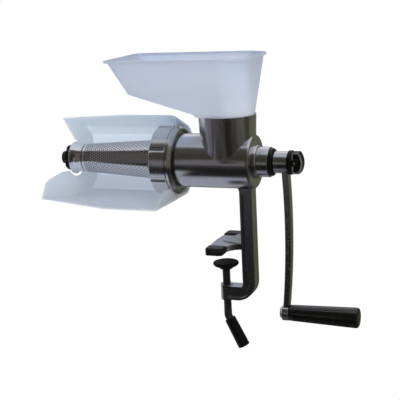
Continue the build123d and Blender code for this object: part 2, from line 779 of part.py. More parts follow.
def hopper():
    """Loose feed hopper: flared tub, shoulder on the funnel's rim and neck inside it."""
    outer = hopper_body(0, 0)
    lip_plan = rounded_outline(hopper_left + rim_width, hopper_right + rim_width,
                               hopper_left_half + rim_width, hopper_right_half + rim_width,
                               hopper_left_corner + rim_width, hopper_right_corner + rim_width)
    lip = extrude(Plane(origin=(0, 0, hopper_height - rim_thickness)) * lip_plan, amount=rim_thickness)
    neck_top = funnel_bore_at(funnel_height) - neck_play
    neck_low = funnel_bore_at(funnel_height - neck_depth) - neck_play
    neck = Solid.make_cone(neck_low, neck_top, neck_depth, Plane(origin=(0, 0, funnel_height - neck_depth)))
    inner_neck = Solid.make_cone(neck_low - hopper_wall, neck_top - hopper_wall, neck_depth + 0.02,
                                 Plane(origin=(0, 0, funnel_height - neck_depth - 0.01)))
    drain = post(neck_top - hopper_wall, funnel_height - 0.5, funnel_height + 8)
    tub = outer + lip
    tub -= hopper_body(hopper_wall, hopper_wall)
    tub -= post(200, hopper_height, hopper_height + 20)
    return tub + neck - inner_neck - drain


def tray_section(far, inset):
    """Closed section of the tray at its near or far end, drawn in by inset."""
    points = [tray_far_top if far else tray_top, tray_shoulder, tray_back_high, tray_back_low,
              tray_heel, tray_floor, tray_far_front if far else tray_front]
    if not inset:
        return points
    inner = []
    for index, point in enumerate(points):
        before = points[max(index - 1, 0)]
        after = points[min(index + 1, len(points) - 1)]
        one = (point[0] - before[0], point[1] - before[1])
        two = (after[0] - point[0], after[1] - point[1])
        one = one if index else two
        two = two if index < len(points) - 1 else one
        normal_one = unit((one[1], -one[0]))
        normal_two = unit((two[1], -two[0]))
        middle = unit((normal_one[0] + normal_two[0], normal_one[1] + normal_two[1]))
        share = inset / (middle[0] * normal_one[0] + middle[1] * normal_one[1])
        inner.append((point[0] + middle[0] * share, point[1] + middle[1] * share))
    return inner


def unit(vector):
    """A plane vector of length one."""
    length = sqrt(vector[0] ** 2 + vector[1] ** 2)
    return vector[0] / length, vector[1] / length


def tray_block(inset, near_x, far_x):
    """Solid between the near and far sections."""
    faces = []
    for far, x in ((False, near_x), (False, -tray_lip_level), (True, far_x)):
        points = tray_section(far, inset)
        if inset:
            first, last = points[0], points[-1]
            points = [(first[0] - 60, first[1] + 20)] + points + [(last[0] - 60, last[1])]
        plane = Plane(origin=(x, 0, 0), x_dir=(0, 1, 0), z_dir=(1, 0, 0))
        faces.append(plane * make_face(Polyline(*points, close=True)))
    return loft(faces, ruled=True)


def tray_far_cut(shift):
    """Everything beyond the leaning far wall, moved out by shift."""
    lean = (-1, tan(radians(tray_end_skew)), -tan(radians(tray_end_lean)))
    plane = Plane(origin=(-tray_end - shift, 0, 0), x_dir=(0, 1, tan(radians(tray_end_skew))), z_dir=lean)
    return extrude(plane * Rectangle(600, 600), amount=100)


def splash_tray():
    """Open trough under and behind the strainer, hooked in the nut's groove."""
    near = groove_back - 0.2
    near_inner = groove_front + 0.2
    far = -tray_end - tray_end_room
    shell = tray_block(0, near, far) - tray_far_cut(tray_wall)
    hollow = tray_block(tray_wall, near_inner, far) - tray_far_cut(0)
    shell -= hollow
    shell -= rod(nut_radius - groove_depth + tray_collar_play, near_inner - 1, near + 1)
    shell -= near_wall_cut(near_inner - 1, near + 1)
    shell -= far_wall_cut()
    return shell


def near_wall_cut(x_low, x_high):
    """Opens the near wall towards the front, down to the ear."""
    collar = nut_radius - groove_depth + tray_collar_play
    outline = Polyline(
        (-4, 0), (-3, collar + 6), (tray_top[0] - 0.5, tray_top[1] + 4), (-120, tray_top[1] + 4),
        (-120, tray_front[1] + 1), (tray_front[0] + 0.5, tray_front[1] + 1),
        (-tray_ear_half - 21, -tray_ear_drop - 3), (-tray_ear_half - 16, -tray_ear_drop),
        (-tray_ear_half, -tray_ear_drop), (-20, -tray_ear_drop), close=True)
    plane = Plane(origin=(x_low, 0, 0), x_dir=(0, 1, 0), z_dir=(1, 0, 0))
    return extrude(plane * make_face(outline), amount=x_high - x_low)


def far_wall_cut():
    """Opens the far wall round the outlet and towards the front."""
    clear = bell_radius + tray_outlet_play
    x_low = -tray_end - 40
    opening = rod(clear, x_low, -tray_end + 30)
    edge = (
        Polyline((0, -clear + 2), (-14, -13), (-30, -11.5), (-56, -13.5))
        + ThreePointArc((-56, -13.5), (-70, -18.5), (tray_far_front[0], tray_far_front[1] + 2))
        + Polyline((tray_far_front[0], tray_far_front[1] + 2), (-140, tray_far_front[1] + 2),
                   (-140, 90), (tray_far_top[0], 90), (tray_far_top[0], tray_far_top[1] - 1),
                   (8.5, 20), (0, -clear + 2))
    )
    plane = Plane(origin=(x_low, 0, 0), x_dir=(0, 1, 0), z_dir=(1, 0, 0))
    front = extrude(plane * make_face(edge), amount=-x_low - tray_end + 12)
    return opening + front


def export_part(name, solid):
    """Move a solid to its place above the table and write it."""
    placed = Pos(clamp_reach, 0, axis_height) * solid
    export_step(Compound(placed.solids()) if len(placed.solids()) > 1 else placed.solids()[0],
                "parts/" + name + ".step")


os.makedirs("parts", exist_ok=True)

pieces = {
    "body_casting": body_casting,
    "jaw_cap_front": lambda: jaw_cap(-1),
    "jaw_cap_back": lambda: jaw_cap(1),
    "bearing_bush": bearing_bush,
    "shaft_seal": shaft_seal,
    "barrel_gasket": barrel_gasket,
    "cone_flange": cone_flange,
    "strainer_cone": strainer_cone,
    "seam_ring": seam_ring,
    "outlet_collar": outlet_collar,
    "outlet_washer": outlet_washer,
    "outlet_knob": outlet_knob,
    "splash_tray": splash_tray,
    "ring_nut": ring_nut,
    "drive_shaft": drive_shaft,
    "auger": auger,
    "auger_spring": auger_spring,
    "crank_arm": crank_arm,
    "grip_spindle": grip_spindle,
    "grip_clip": grip_clip,
    "grip": grip,
    "knob_washer": knob_washer,
    "crank_knob": crank_knob,
    "knob_stud": knob_stud,
    "knob_pin": knob_pin_bar,
    "clamp_screw": clamp_screw,
    "screw_sleeve": screw_sleeve,
    "clamp_pad": clamp_pad,
    "pad_retainer": pad_retainer,
    "hopper": hopper,
}

for piece_name, make_piece in pieces.items():
    export_part(piece_name, make_piece())
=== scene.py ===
import bpy
import bmesh
import json
from math import cos, sin, pi, radians, atan2
from mathutils import Matrix, Vector


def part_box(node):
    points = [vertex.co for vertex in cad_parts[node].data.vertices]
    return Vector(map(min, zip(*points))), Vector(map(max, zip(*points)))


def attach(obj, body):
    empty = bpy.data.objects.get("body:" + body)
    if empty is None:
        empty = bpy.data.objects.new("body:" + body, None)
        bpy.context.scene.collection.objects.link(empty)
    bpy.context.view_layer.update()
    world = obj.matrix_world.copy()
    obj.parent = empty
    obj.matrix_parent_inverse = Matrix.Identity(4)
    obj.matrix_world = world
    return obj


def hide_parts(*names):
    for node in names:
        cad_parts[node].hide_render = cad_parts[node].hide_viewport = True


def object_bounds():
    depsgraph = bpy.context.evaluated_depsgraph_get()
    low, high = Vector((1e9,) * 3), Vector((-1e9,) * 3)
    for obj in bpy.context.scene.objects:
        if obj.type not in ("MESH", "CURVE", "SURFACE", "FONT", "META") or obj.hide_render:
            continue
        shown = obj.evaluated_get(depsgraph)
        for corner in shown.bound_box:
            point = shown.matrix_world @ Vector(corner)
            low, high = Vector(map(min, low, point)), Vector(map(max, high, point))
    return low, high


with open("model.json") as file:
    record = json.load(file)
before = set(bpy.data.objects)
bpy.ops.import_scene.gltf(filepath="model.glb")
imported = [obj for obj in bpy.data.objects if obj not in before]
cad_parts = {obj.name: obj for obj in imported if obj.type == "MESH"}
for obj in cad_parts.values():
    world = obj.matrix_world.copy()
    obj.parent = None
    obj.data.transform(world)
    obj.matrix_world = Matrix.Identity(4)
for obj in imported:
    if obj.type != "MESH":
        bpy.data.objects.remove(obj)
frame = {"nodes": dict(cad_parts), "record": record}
cadLow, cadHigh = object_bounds()
print("frame loaded with", len(frame["nodes"]), "nodes")

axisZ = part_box("drive_shaft")[0].z / 2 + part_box("drive_shaft")[1].z / 2  # barrel axis above the table


class Val:
    # one output socket, so that shader maths reads as plain expressions
    def __init__(self, paint, socket):
        self.paint = paint
        self.socket = socket

    def maths(self, operation, a, b):
        return self.paint.node("ShaderNodeMath", {"operation": operation}, {0: a, 1: b})

    def __add__(self, other):
        return self.maths("ADD", self, other)

    def __radd__(self, other):
        return self.maths("ADD", other, self)

    def __sub__(self, other):
        return self.maths("SUBTRACT", self, other)

    def __rsub__(self, other):
        return self.maths("SUBTRACT", other, self)

    def __mul__(self, other):
        return self.maths("MULTIPLY", self, other)

    def __rmul__(self, other):
        return self.maths("MULTIPLY", other, self)

    def __pow__(self, other):
        return self.maths("POWER", self, other)


class Paint:
    def __init__(self, name, world=False):
        self.holder = (bpy.data.worlds if world else bpy.data.materials).new(name)
        self.holder.use_nodes = True
        self.tree = self.holder.node_tree
        self.tree.nodes.clear()
        self.ending = "ShaderNodeOutputWorld" if world else "ShaderNodeOutputMaterial"

    def node(self, kind, settings=None, inputs=None, out=0):
        made = self.tree.nodes.new(kind)
        for key, value in (settings or {}).items():
            setattr(made, key, value)
        for key, value in (inputs or {}).items():
            self.join(made.inputs[key], value)
        return Val(self, made.outputs[out])

    def join(self, socket, value):
        if isinstance(value, Val):
            self.tree.links.new(value.socket, socket)
        elif socket.type == "RGBA" and len(value) == 3:
            socket.default_value = (*value, 1.0)
        else:
            socket.default_value = value

    def place(self, stretch=(1, 1, 1)):
        spot = self.node("ShaderNodeTexCoord", out=3)
        if stretch == (1, 1, 1):
            return spot
        return self.node("ShaderNodeVectorMath", {"operation": "MULTIPLY"}, {0: spot, 1: stretch})

    def noise(self, scale, detail=3.0, rough=0.5, stretch=(1, 1, 1)):
        inputs = {"Vector": self.place(stretch), "Scale": scale, "Detail": detail, "Roughness": rough}
        return self.node("ShaderNodeTexNoise", None, inputs)

    def blendColours(self, share, one, two):
        return self.node("ShaderNodeMix", {"data_type": "RGBA"}, {0: share, 6: one, 7: two}, out=2)

    def bump(self, height, strength, distance):
        inputs = {"Height": height, "Strength": strength, "Distance": distance}
        return self.node("ShaderNodeBump", None, inputs)

    def finish(self, **inputs):
        names = {key.replace("_", " "): value for key, value in inputs.items()}
        self.outlet(self.node("ShaderNodeBsdfPrincipled", None, names))
        return self.holder

    def outlet(self, shader):
        made = self.tree.nodes.new(self.ending)
        self.tree.links.new(shader.socket, made.inputs["Surface"])


castLook = {"light": (0.76, 0.76, 0.77), "dark": (0.62, 0.62, 0.62), "rough": 0.15, "relief": 0.14,
            "depth": 0.0005, "cloud": {"scale": 26.0, "detail": 4.0, "rough": 0.6},
            "wave": {"scale": 34.0, "detail": 2.0}, "grain": {"scale": 900.0, "detail": 2.0, "rough": 0.6},
            "brushed": {"scale": 70.0, "detail": 4.0, "rough": 0.7, "stretch": (1, 14, 14)}}


def castMetalPaint():
    # cast aluminium, polished by hand: soft waves and fine marks under the shine
    look = castLook
    paint = Paint("castMetal")
    cloud = paint.noise(**look["cloud"])
    wave = paint.noise(**look["wave"])
    grain = paint.noise(**look["grain"])
    brushed = paint.noise(**look["brushed"])
    colour = paint.blendColours(cloud, look["dark"], look["light"])
    bump = paint.bump(grain * 0.25 + brushed * 0.35 + wave * 1.4, look["relief"], look["depth"])
    return paint.finish(Base_Color=colour, Metallic=1.0, Normal=bump,
                        Roughness=look["rough"] + brushed * 0.10 + cloud * 0.05)


steelLook = {"light": (0.88, 0.88, 0.90), "dark": (0.78, 0.78, 0.79), "rough": 0.11, "relief": 0.12,
             "depth": 0.0002, "rings": {"scale": 60.0, "rough": 0.6, "stretch": (40, 1, 1)},
             "cloud": {"scale": 40.0}}


def turnedSteelPaint():
    look = steelLook
    paint = Paint("turnedSteel")
    rings = paint.noise(**look["rings"])
    cloud = paint.noise(**look["cloud"])
    colour = paint.blendColours(cloud, look["dark"], look["light"])
    return paint.finish(Base_Color=colour, Metallic=1.0, Roughness=look["rough"] + rings * 0.12,
                        Normal=paint.bump(rings, look["relief"], look["depth"]))


plainLooks = {  # two colours with the noise that runs between them, and roughness with its variation
    "turnedBrass": {"dark": (0.55, 0.40, 0.18), "light": (0.75, 0.58, 0.30), "metal": 1.0,
                    "cloud": {"scale": 50.0}, "rough": 0.28, "vary": 0.10},
    "blackenedSteel": {"dark": (0.020, 0.020, 0.019), "light": (0.075, 0.072, 0.066), "metal": 0.7,
                       "cloud": {"scale": 60.0, "detail": 4.0, "rough": 0.6}, "rough": 0.30, "vary": 0.15},
    # painted highlight: a paler olive grey for the thumb knob's rims, standing in for light caught on their
    # edges
    "paintedRimHighlight": {"dark": (0.060, 0.060, 0.0468), "light": (0.150, 0.150, 0.117), "metal": 0.0,
                  "cloud": {"scale": 220.0, "rough": 0.6}, "rough": 0.34, "vary": 0.12},
    "whitePlastic": {"dark": (0.72, 0.72, 0.69), "light": (0.80, 0.80, 0.78), "metal": 0.0,
                     "cloud": {"scale": 60.0}, "rough": 0.42, "vary": 0.10},
    "paleRubber": {"dark": (0.62, 0.59, 0.52), "light": (0.72, 0.70, 0.64), "metal": 0.0,
                   "cloud": {"scale": 120.0}, "rough": 0.60, "vary": 0.10},
}


def plainPaint(name):
    look = plainLooks[name]
    paint = Paint(name)
    cloud = paint.noise(**look["cloud"])
    colour = paint.blendColours(cloud, look["dark"], look["light"])
    return paint.finish(Base_Color=colour, Metallic=look["metal"],
                        Roughness=look["rough"] + cloud * look["vary"])


blackLook = {"base": (0.0020, 0.0020, 0.0018), "worn": (0.0065, 0.0065, 0.0060), "relief": 0.12,
             "depth": 0.0001, "cloud": {"scale": 80.0, "detail": 4.0, "rough": 0.6},
             "speck": {"scale": 1500.0, "detail": 2.0}}


def blackPlasticPaint(name, rough=0.30, shine=0.30, pale=1.0):
    look = blackLook
    paint = Paint(name)
    cloud = paint.noise(**look["cloud"])
    speck = paint.noise(**look["speck"])
    worn = tuple(part * pale for part in look["worn"])
    colour = paint.blendColours(cloud ** 2.0, look["base"], worn)
    return paint.finish(Base_Color=colour, Roughness=rough + speck * 0.10, Specular_IOR_Level=shine,
                        Normal=paint.bump(speck, look["relief"], look["depth"]))


milkyLook = {"cloud": {"scale": 14.0}, "fine": {"scale": 420.0, "detail": 2.0}, "rough": 0.30, "relief": 0.06,
             "depth": 0.0003, "spread": (0.9, 1.0, 1.2), "index": 1.45}
plasticLook = {  # heights in metres where the painted shade ends and the full colour begins
    "tray": {"thick": (0.52, 0.66, 0.92), "thin": (0.60, 0.73, 0.98), "soak": 0.95, "reach": 0.020,
             "paintedShadeAt": 0.060, "colourAt": 0.125, "paintedShade": (0.39, 0.41, 0.45)},
    "hopper": {"thick": (0.58, 0.66, 0.88), "thin": (0.66, 0.73, 0.94), "soak": 0.9, "reach": 0.016,
               "paintedShadeAt": 0.215, "colourAt": 0.135, "paintedShade": (0.36, 0.395, 0.48)},
}


def milkyPlasticPaint(kind):
    look = plasticLook[kind]
    paint = Paint("milky" + kind.title() + "Plastic")
    cloud = paint.noise(**milkyLook["cloud"])
    fine = paint.noise(**milkyLook["fine"])
    colour = paint.blendColours(cloud, look["thick"], look["thin"])
    height = paint.node("ShaderNodeSeparateXYZ", None, {0: paint.place()}, out=2)
    spans = {0: height, 1: look["paintedShadeAt"], 2: look["colourAt"], 3: 0.0, 4: 1.0}
    share = paint.node("ShaderNodeMapRange", None, spans)
    # painted shade: the base colour darkens to the shade colour by height, towards the bottom of the tray and
    # the top of the hopper
    colour = paint.blendColours(share, look["paintedShade"], colour)
    bump = paint.bump(fine + cloud * 2.0, milkyLook["relief"], milkyLook["depth"])
    return paint.finish(Base_Color=colour, Roughness=milkyLook["rough"] + fine * 0.08, Normal=bump,
                        Subsurface_Weight=look["soak"], Subsurface_Radius=milkyLook["spread"],
                        Subsurface_Scale=look["reach"], IOR=milkyLook["index"])


# painted shade: a dark grey for the auger's white nylon, so that the cone's holes read dark; the marks are a
# bump
nylonLook = {"dark": (0.15, 0.145, 0.135), "light": (0.24, 0.23, 0.215), "rough": 0.38, "relief": 0.15,
             "depth": 0.0002, "cloud": {"scale": 60.0},
             "marks": {"scale": 260.0, "rough": 0.6, "stretch": (1, 6, 6)}}


def paintedShadeNylonPaint():
    look = nylonLook
    paint = Paint("paintedShadeNylon")
    cloud = paint.noise(**look["cloud"])
    marks = paint.noise(**look["marks"])
    colour = paint.blendColours(cloud, look["dark"], look["light"])
    return paint.finish(Base_Color=colour, Roughness=look["rough"] + cloud * 0.12,
                        Normal=paint.bump(marks, look["relief"], look["depth"]))


paints = {
    "cast_metal": castMetalPaint(),
    "steel": turnedSteelPaint(),
    "dark_steel": plainPaint("blackenedSteel"),
    "brass": plainPaint("turnedBrass"),
    "black_plastic": blackPlasticPaint("blackPlastic"),
    "black_rubber": blackPlasticPaint("blackRubber", rough=0.34, shine=0.45, pale=2.4),
    "pale_rubber": plainPaint("paleRubber"),
    "white_plastic": plainPaint("whitePlastic"),
    "clear_plastic": milkyPlasticPaint("tray"),
}
ownPaint = {  # pieces whose look differs from their slot's
    "hopper": milkyPlasticPaint("hopper"),
    "grip": blackPlasticPaint("glossyGrip", rough=0.08, shine=0.8),
    "clamp_pad": blackPlasticPaint("dullPad", rough=0.55, shine=0.12),
    "auger": paintedShadeNylonPaint(),
}
slotOf = {row["node"]: row["material_slot"] for row in frame["record"]["subparts"]}
for nodeName, cadNode in frame["nodes"].items():
    cadNode.data.materials.clear()
    cadNode.data.materials.append(ownPaint.get(nodeName, paints[slotOf[nodeName]]))
print("materials ready")


def finishMesh(name, bm, slotName, body, nodes=(), *, angle, weighted=True):
    mesh = bpy.data.meshes.new(name)
    bmesh.ops.recalc_face_normals(bm, faces=bm.faces)
    bm.to_mesh(mesh)
    bm.free()
    for polygon in mesh.polygons:
        polygon.use_smooth = True
    mesh.set_sharp_from_angle(angle=radians(angle))
    mesh.materials.append(ownPaint.get(nodes[0] if nodes else name, paints[slotName]))
    made = bpy.data.objects.new(name, mesh)
    bpy.context.scene.collection.objects.link(made)
    if weighted:
        soft = made.modifiers.new("evenShading", "WEIGHTED_NORMAL")
        soft.keep_sharp = True
    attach(made, body)
    if nodes:
        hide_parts(*nodes)
    return made


bodyOf = {node: body for body, nodes in frame["record"]["behaviour"]["bodies"].items() for node in nodes}


edgeWidths = {"body_casting": 0.0007, "crank_arm": 0.0004, "hopper": 0.0005, "splash_tray": 0.0005,
              "ring_nut": 0.0005, "outlet_knob": 0.0006, "crank_knob": 0.0006, "jaw_cap_front": 0.0004,
              "jaw_cap_back": 0.0004}  # metres
# from, sharp and flat are angles in degrees, and weld is in metres
edgeLook = {"segments": 2, "from": 28.0, "sharp": 40.0, "weld": 1e-6, "flat": 0.6}


def softened(node, width):
    # the CAD piece again, with its hard edges rounded off
    look = edgeLook
    bm = bmesh.new()
    bm.from_mesh(frame["nodes"][node].data)
    bmesh.ops.remove_doubles(bm, verts=bm.verts, dist=look["weld"])
    bmesh.ops.dissolve_limit(bm, angle_limit=radians(look["flat"]), verts=bm.verts, edges=bm.edges)
    made = finishMesh(node + "Soft", bm, slotOf[node], bodyOf[node], [node], angle=look["sharp"],
                      weighted=False)
    bevel = made.modifiers.new("edges", "BEVEL")
    bevel.width = width
    bevel.segments = look["segments"]
    bevel.limit_method = "ANGLE"
    bevel.angle_limit = radians(look["from"])
    bevel.use_clamp_overlap = True
    even = made.modifiers.new("evenShading", "WEIGHTED_NORMAL")
    even.keep_sharp = True


for nodeName, width in edgeWidths.items():
    softened(nodeName, width)


knobRim = {"face": 0.0050, "slack": 0.0002, "square": 0.9}  # face is half the head's thickness, in metres


def paintRimHighlight():
    # painted highlight: the raised rims on both faces of the thumb knob get a paler olive grey that stands in
    # for light caught round the pocket
    made = bpy.data.objects["crank_knobSoft"]
    made.data.materials.append(plainPaint("paintedRimHighlight"))
    for polygon in made.data.polygons:
        inFace = abs(abs(polygon.center.y) - knobRim["face"]) < knobRim["slack"]
        if inFace and abs(polygon.normal.y) > knobRim["square"]:
            polygon.material_index = 1


paintRimHighlight()
print("edges rounded")


def placeAlong(origin, direction, up=(0, 0, 1)):
    # turns a piece drawn along its own Z to stand at a place and point a way
    z = Vector(direction).normalized()
    x = Vector(up).cross(z)
    x = x.normalized() if x.length > 1e-6 else Vector((1, 0, 0))
    y = z.cross(x)
    return Matrix.Translation(Vector(origin)) @ Matrix((x, y, z)).transposed().to_4x4()


# legShare is the most of a side that a rounding takes, least and onAxis are in millimetres
turning = {"legShare": 0.45, "least": 0.01, "onAxis": 0.005}


def softProfile(points, rounding, steps=3):
    # a closed outline in millimetres as (along, radius), each corner rounded
    count = len(points)
    out = []
    for i, here in enumerate(points):
        here = Vector(here)
        before = Vector(points[i - 1]) - here
        after = Vector(points[(i + 1) % count]) - here
        reach = min(rounding, before.length * turning["legShare"], after.length * turning["legShare"])
        if reach < turning["least"] or here.y < turning["least"]:
            out.append(tuple(here))
            continue
        one = here + before.normalized() * reach
        two = here + after.normalized() * reach
        for k in range(steps + 1):
            t = k / steps
            spot = one * (1 - t) ** 2 + here * (2 * t * (1 - t)) + two * t ** 2
            out.append(tuple(spot))
    return out


def spin(bm, profile, place, segments):
    # lathe work: a closed profile in millimetres turned about its own Z
    rings = []
    for along, radius in profile:
        ring = []
        if radius < turning["onAxis"]:
            ring = [bm.verts.new(place @ Vector((0, 0, along / 1000)))] * segments
        else:
            for k in range(segments):
                turn = 2 * pi * k / segments
                spot = Vector((radius * cos(turn), radius * sin(turn), along)) / 1000
                ring.append(bm.verts.new(place @ spot))
        rings.append(ring)
    for i in range(len(rings)):
        one, two = rings[i], rings[(i + 1) % len(rings)]
        for k in range(segments):
            after = (k + 1) % segments
            corners = []
            for vert in (one[k], one[after], two[after], two[k]):
                if vert not in corners:
                    corners.append(vert)
            if len(corners) > 2:
                bm.faces.new(corners)


barrelPlace = placeAlong((0, 0, axisZ), (1, 0, 0))

turnedPieces = {  # outline in millimetres as (place along its axis, radius)
    "outlet_collar": {"points": [(-167.0, 12.9), (-167.0, 16.5), (-171.0, 16.4), (-174.4, 16.35),
                                 (-176.6, 16.6), (-178.6, 17.3), (-180.2, 18.3), (-180.6, 18.7),
                                 (-181.7, 18.7), (-181.7, 16.6), (-179.0, 15.0), (-176.0, 13.4),
                                 (-175.0, 12.9)],
                      "rounding": 0.5, "place": barrelPlace},
    "seam_ring": {"points": [(-165.85, 12.9), (-165.85, 16.15), (-167.0, 16.15), (-167.0, 12.9)],
                  "rounding": 0.2, "place": barrelPlace},
    "shaft_seal": {"points": [(57.7, 8.3), (57.7, 14.9), (58.3, 15.2), (60.4, 15.2), (61.9, 13.7),
                              (61.9, 12.6), (61.4, 12.2), (61.4, 8.3)],
                   "rounding": 0.5, "place": barrelPlace},
    "grip": {"points": [(74.2, 4.08), (74.2, 8.3), (74.8, 9.0), (76.6, 9.1), (77.0, 8.8), (77.6, 8.8),
                        (78.0, 9.15), (148.6, 11.35), (150.9, 11.0), (152.0, 9.4), (152.2, 7.5), (152.2, 0.0),
                        (146.2, 0.0), (146.2, 4.08)],
             "rounding": 0.8, "place": placeAlong((0, 0, -0.0733), (1, 0, 0))},
    "clamp_pad": {"points": [(-17.9, 0.0), (-17.9, 13.2), (-18.5, 14.4), (-19.6, 14.7), (-20.9, 14.4),
                             (-22.4, 12.6), (-24.4, 8.6), (-26.3, 6.4), (-26.5, 5.9), (-26.5, 4.0),
                             (-23.2, 4.0), (-19.6, 2.4), (-19.4, 0.0)],
                  "rounding": 0.7, "place": placeAlong((0, 0, 0), (0, 0, 1))},
}


latheLook = {"segments": 96, "sharp": 42.0}


def turnedPiece(node, row):
    bm = bmesh.new()
    spin(bm, softProfile(row["points"], row["rounding"]), row["place"], latheLook["segments"])
    finishMesh(node + "Turned", bm, slotOf[node], bodyOf[node], [node], angle=latheLook["sharp"])


for nodeName, row in turnedPieces.items():
    turnedPiece(nodeName, row)


collarLook = {"points": [(40.2, 16.0), (40.2, 18.6), (43.2, 18.4), (44.6, 16.8), (44.6, 16.0)],
              "rounding": 0.9, "steps": 4}


def bossCollar():
    # low step cast round the root of the bearing boss
    bm = bmesh.new()
    outline = softProfile(collarLook["points"], collarLook["rounding"], collarLook["steps"])
    spin(bm, outline, barrelPlace, latheLook["segments"])
    finishMesh("bossCollar", bm, "cast_metal", "frame_body", angle=latheLook["sharp"])


bossCollar()
print("turned pieces made")


# lengths in millimetres, tilt and sharp in degrees, ballAngles in radians
screwLook = {"radius": 4.46, "root": 3.85, "pitch": 1.25, "top": -27.1, "bend": -82.0, "bendRadius": 7.0,
             "tilt": 26.5, "handle": 38.5, "threadEnd": -75.5, "ball": 3.68, "ballAt": -23.2, "neck": 2.7,
             "shoulder": 3.5, "lead": 3.6, "leadSlope": 0.9, "crest": 1.45, "flank": 4.2, "inSleeve": 4.08,
             "sleeve": 34.5, "around": 28, "rowsPerTurn": 6, "bendSteps": 8, "neckAt": 0.78, "neckEnd": 0.2,
             "ballAngles": (0.25, 0.5, 0.8, 1.1, 1.4, 1.7, 2.0, 2.3), "bareSteps": (-0.6, 0.4),
             "sleeveStart": 0.5, "tipStep": 0.5, "sharp": 50.0}
tilt = radians(screwLook["tilt"])
handleWay = Vector((sin(tilt), 0, -cos(tilt)))
knee = Vector((0, 0, screwLook["bend"]))


def screwPath():
    # the bent screw's centre line below its ball: place, direction, radius, and height in the thread
    look = screwLook
    corner = look["bendRadius"] * sin(tilt / 2) / cos(tilt / 2)
    path = []
    z = look["top"]
    while z > look["bend"] + corner:
        threadAt = z if z > look["threadEnd"] else None
        path.append((Vector((0, 0, z)), Vector((0, 0, -1)), look["radius"], threadAt))
        z -= look["pitch"] / look["rowsPerTurn"]
    for k in range(look["bendSteps"] + 1):
        a = tilt * k / look["bendSteps"]
        x = look["bendRadius"] * (1 - cos(a))
        z = look["bend"] + corner - look["bendRadius"] * sin(a)
        path.append((Vector((x, 0, z)), Vector((sin(a), 0, -cos(a))), look["radius"], None))
    bare = look["handle"] - look["sleeve"]
    for step in look["bareSteps"]:
        path.append((knee + handleWay * (bare + step), handleWay, look["radius"], None))
    for reach in (bare + look["sleeveStart"], look["handle"] - look["tipStep"], look["handle"]):
        path.append((knee + handleWay * reach, handleWay, look["inSleeve"], None))
    return path


def threadRadius(z, turnShare):
    # the thread's ridge, fading in at the top end
    look = screwLook
    share = (z / look["pitch"] + turnShare) % 1.0
    ridge = min(1.0, max(0.0, look["crest"] - abs(share - 0.5) * look["flank"]))
    radius = look["root"] + (look["radius"] - look["root"]) * ridge
    return min(radius, look["lead"] + (look["top"] - z) * look["leadSlope"])


def clampScrew():
    look = screwLook
    bm = bmesh.new()
    around = look["around"]
    turns = [2 * pi * k / around for k in range(around)]
    ballAt, ball = look["ballAt"], look["ball"]
    top = bm.verts.new(Vector((0, 0, ballAt + ball)) / 1000)
    rows = [(ballAt + ball * cos(a), ball * sin(a)) for a in look["ballAngles"]]
    rows.append((ballAt - ball * look["neckAt"], look["neck"]))
    rows.append((look["top"] + look["neckEnd"], look["neck"]))
    rows.append((look["top"], look["shoulder"]))
    rings = []
    for z, radius in rows:
        spots = [Vector((radius * cos(turn), radius * sin(turn), z)) for turn in turns]
        rings.append([bm.verts.new(spot / 1000) for spot in spots])
    side = Vector((0, 1, 0))
    for centre, way, plain, z in screwPath():
        front = side.cross(way)
        ring = []
        for k, turn in enumerate(turns):
            radius = plain if z is None else threadRadius(z, k / around)
            spot = centre - front * radius * cos(turn) + side * radius * sin(turn)
            ring.append(bm.verts.new(spot / 1000))
        rings.append(ring)
    for one, two in zip(rings, rings[1:]):
        for k in range(around):
            bm.faces.new((one[k], one[(k + 1) % around], two[(k + 1) % around], two[k]))
    for k in range(around):
        bm.faces.new((top, rings[0][(k + 1) % around], rings[0][k]))
    bm.faces.new(rings[-1])
    finishMesh("clampScrewThread", bm, slotOf["clamp_screw"], bodyOf["clamp_screw"], ["clamp_screw"],
               angle=look["sharp"])


sleeveLook = {"points": [(0.0, 0.0), (-1.5, 0.0), (-1.5, 6.2), (-0.8, 6.9), (1.2, 6.86), (1.6, 6.6),
                         (2.2, 6.6), (2.6, 6.83), (33.2, 6.3), (34.1, 6.1), (34.5, 5.5), (34.5, 4.12),
                         (0.0, 4.12)],
              "rounding": 0.4, "segments": 64}


def screwSleeve():
    tip = knee + handleWay * screwLook["handle"]
    place = placeAlong(tip / 1000, -handleWay, (0, 1, 0))
    bm = bmesh.new()
    spin(bm, softProfile(sleeveLook["points"], sleeveLook["rounding"]), place, sleeveLook["segments"])
    finishMesh("sleeveTurned", bm, slotOf["screw_sleeve"], bodyOf["screw_sleeve"], ["screw_sleeve"],
               angle=latheLook["sharp"])


clampScrew()
screwSleeve()
print("clamp screw threaded")


# lengths in millimetres, with near and far as places along the barrel, and sharp in degrees
coneLook = {"rows": 36, "around": 38, "hole": 2.05, "wall": 0.8, "near": -65.8, "far": -165.8,
            "nearRadius": 22.9, "farRadius": 16.3, "plainNear": 2.4, "plainFar": 2.4, "sides": 8,
            "sharp": 50.0}


